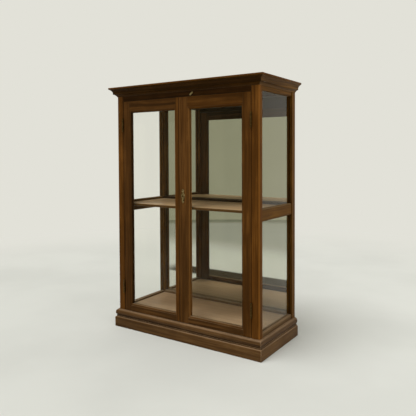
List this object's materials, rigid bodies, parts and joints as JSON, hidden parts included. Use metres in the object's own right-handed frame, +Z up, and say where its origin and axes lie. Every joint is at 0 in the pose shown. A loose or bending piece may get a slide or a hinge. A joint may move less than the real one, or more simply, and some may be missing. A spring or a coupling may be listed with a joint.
{
  "type": "haberdashery cabinet",
  "caption": "Free-standing glazed shop cabinet with hinged framed glass doors, glazed sides, mirrored back, inner shelf, moulded cornice and plinth, lock and door bolts.",
  "frame": {"origin": "on the floor, under the middle of the overall box", "axes": "+Z up, +Y to the back, +X to the right seen from the front; the doors face -Y"},
  "size_m": [0.88, 0.4, 1.22],
  "materials": {
    "front_wood": "polished mahogany brown",
    "side_wood": "polished mahogany brown",
    "inside_wood": "thinly varnished",
    "back_wood": "bare",
    "glass": "clear",
    "mirror": "silvered",
    "brass": "aged"
  },
  "bodies": {
    "cabinet": {"plinth_front": "front_wood", "plinth_left": "front_wood", "plinth_right": "front_wood", "plinth_back": "back_wood", "base_moulding_front": "front_wood", "base_moulding_left": "front_wood", "base_moulding_right": "front_wood", "floor_board": "inside_wood", "post_front_left": "front_wood", "post_front_right": "front_wood", "post_back_left": "side_wood", "post_back_right": "side_wood", "frieze_rail": "front_wood", "side_top_rail_left": "side_wood", "side_top_rail_right": "side_wood", "side_mid_rail_left": "side_wood", "side_mid_rail_right": "side_wood", "side_bottom_rail_left": "side_wood", "side_bottom_rail_right": "side_wood", "side_glass_upper_left": "glass", "side_glass_upper_right": "glass", "side_glass_lower_left": "glass", "side_glass_lower_right": "glass", "back_top_rail": "side_wood", "back_mid_rail": "side_wood", "back_bottom_rail": "side_wood", "mirror": "mirror", "back_panel": "back_wood", "shelf": "inside_wood", "top_board": "front_wood", "cornice_front": "front_wood", "cornice_left": "front_wood", "cornice_right": "front_wood", "left_hinge_top_post_leaf": "brass", "left_hinge_bottom_post_leaf": "brass", "right_hinge_top_post_leaf": "brass", "right_hinge_bottom_post_leaf": "brass", "turn_button_screw": "brass"},
    "left_door": {"left_door_hinge_stile": "front_wood", "left_door_meeting_stile": "front_wood", "left_door_top_rail": "front_wood", "left_door_bottom_rail": "front_wood", "left_door_glass": "glass", "left_hinge_top_door_leaf": "brass", "left_hinge_bottom_door_leaf": "brass", "door_bolt_plate_top": "brass", "door_bolt_plate_bottom": "brass"},
    "right_door": {"right_door_hinge_stile": "front_wood", "right_door_meeting_stile": "front_wood", "right_door_top_rail": "front_wood", "right_door_bottom_rail": "front_wood", "right_door_glass": "glass", "right_hinge_top_door_leaf": "brass", "right_hinge_bottom_door_leaf": "brass", "lock_case": "brass", "escutcheon": "brass"},
    "lock_bolt": {"lock_bolt": "brass"},
    "door_bolt_top": {"door_bolt_top": "brass"},
    "door_bolt_bottom": {"door_bolt_bottom": "brass"},
    "turn_button": {"turn_button": "brass"}
  },
  "joints": [
    {"name": "left_door_swing", "type": "hinge", "parent": "cabinet", "child": "left_door", "pos_m": [-0.368, -0.1713, 0.6195], "axis": [0, 0, -1], "range_deg": [0, 170]},
    {"name": "right_door_swing", "type": "hinge", "parent": "cabinet", "child": "right_door", "pos_m": [0.368, -0.1713, 0.6195], "axis": [0, 0, 1], "range_deg": [0, 170]},
    {"name": "lock_bolt_slide", "type": "slide", "parent": "right_door", "child": "lock_bolt", "axis": [-1, 0, 0], "range_m": [0, 0.007]},
    {"name": "door_bolt_top_slide", "type": "slide", "parent": "left_door", "child": "door_bolt_top", "axis": [0, 0, 1], "range_m": [0, 0.01]},
    {"name": "door_bolt_bottom_slide", "type": "slide", "parent": "left_door", "child": "door_bolt_bottom", "axis": [0, 0, -1], "range_m": [0, 0.01]},
    {"name": "turn_button_turn", "type": "hinge", "parent": "cabinet", "child": "turn_button", "pos_m": [0.0515, -0.1688, 1.157], "axis": [0, 1, 0], "range_deg": [0, 128]}
  ]
}
